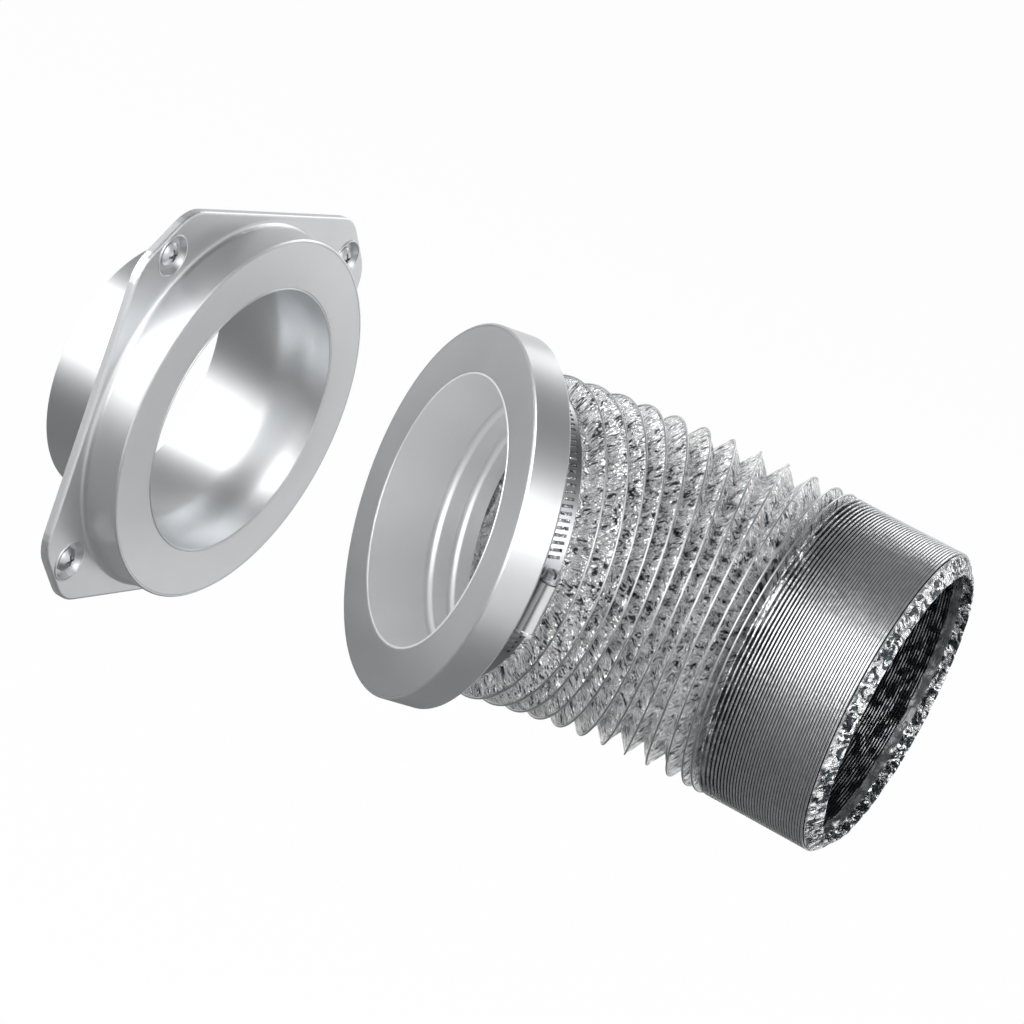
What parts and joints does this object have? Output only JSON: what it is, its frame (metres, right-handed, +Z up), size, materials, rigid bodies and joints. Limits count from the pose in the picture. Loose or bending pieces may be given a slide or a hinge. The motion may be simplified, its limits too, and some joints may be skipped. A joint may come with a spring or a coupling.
{
  "type": "flexible air duct",
  "caption": "Corrugated foil air duct on a round collar with a worm clamp, and a square wall flange with a magnetic face that it docks on.",
  "frame": {"origin": "centre of the wall flange, in the plane of the wall that its plate and its four screw seats touch", "axes": "+X out of the wall along the flange's bore, +Z up, +Y to the left as seen by a viewer who faces the wall"},
  "size_m": [0.285, 0.2341, 0.1461],
  "materials": {
    "flange_metal": "satin",
    "face_metal": "satin",
    "spigot_metal": "satin",
    "magnet": "plated",
    "screw_metal": "zinc plated",
    "keeper_steel": "plain",
    "clamp_steel": "rolled",
    "foil": "crinkled foil",
    "wire_steel": "drawn"
  },
  "bodies": {
    "wall_half": {"wall_plate": "flange_metal", "wall_face": "face_metal", "wall_spigot": "spigot_metal", "wall_magnets": "magnet", "mounting_screws": "screw_metal"},
    "duct_half": {"duct_rim": "flange_metal", "duct_face": "face_metal", "duct_keeper": "keeper_steel", "duct_collar": "spigot_metal", "clamp_band": "clamp_steel", "clamp_housing": "clamp_steel", "foil_cuff": "foil"},
    "clamp_worm": {"clamp_screw": "screw_metal"},
    "band_end": {"clamp_tail": "clamp_steel"},
    "duct_near": {"foil_section_1": "foil", "wire_section_1": "wire_steel"},
    "duct_far": {"foil_section_2": "foil", "wire_section_2": "wire_steel", "foil_section_3": "foil", "wire_section_3": "wire_steel", "foil_section_4": "foil", "wire_section_4": "wire_steel", "gathered_near": "foil"},
    "free_end": {"gathered_middle": "foil", "gathered_far": "foil"}
  },
  "joints": [
    {"name": "dock_swing", "type": "hinge", "parent": "wall_half", "child": "duct_half", "pos_m": [0.02519, 0.08927, 0], "axis": [0.022, 0.0911, 0.9956], "range_deg": [-49.5, 20]},
    {"name": "screw_turn", "type": "hinge", "parent": "duct_half", "child": "clamp_worm", "pos_m": [0.14597, 0.00409, -0.0118], "axis": [0.1255, -0.0269, 0.9917], "range_deg": [-720, 720]},
    {"name": "band_tail", "type": "hinge", "parent": "duct_half", "child": "band_end", "pos_m": [0.10221, 0.04212, -0.00523], "axis": [0.6494, 0.7579, -0.0616], "range_deg": [-5.5, 5.5]},
    {"name": "bend_up_down", "type": "hinge", "parent": "duct_half", "child": "duct_near", "pos_m": [0.11358, 0.05539, -0.00631], "axis": [-0.7594, 0.6485, -0.0527], "range_deg": [-10, 10], "deforming": ["foil_section_1", "wire_section_1"]},
    {"name": "bend_sideways", "type": "hinge", "parent": "duct_near", "child": "duct_far", "pos_m": [0.16082, 0.08968, -0.00965], "axis": [0, 0.0811, 0.9967], "range_deg": [-4, 15], "deforming": ["foil_section_2", "wire_section_2", "foil_section_3", "wire_section_3", "foil_section_4", "wire_section_4"]},
    {"name": "pull_out", "type": "slide", "parent": "duct_far", "child": "free_end", "axis": [0.9971, 0.0669, -0.0372], "range_m": [0, 0.08], "deforming": ["gathered_middle"]}
  ],
  "couplings": [
    {"joint": "band_tail", "follows": "screw_turn", "ratio": -0.0075169}
  ]
}
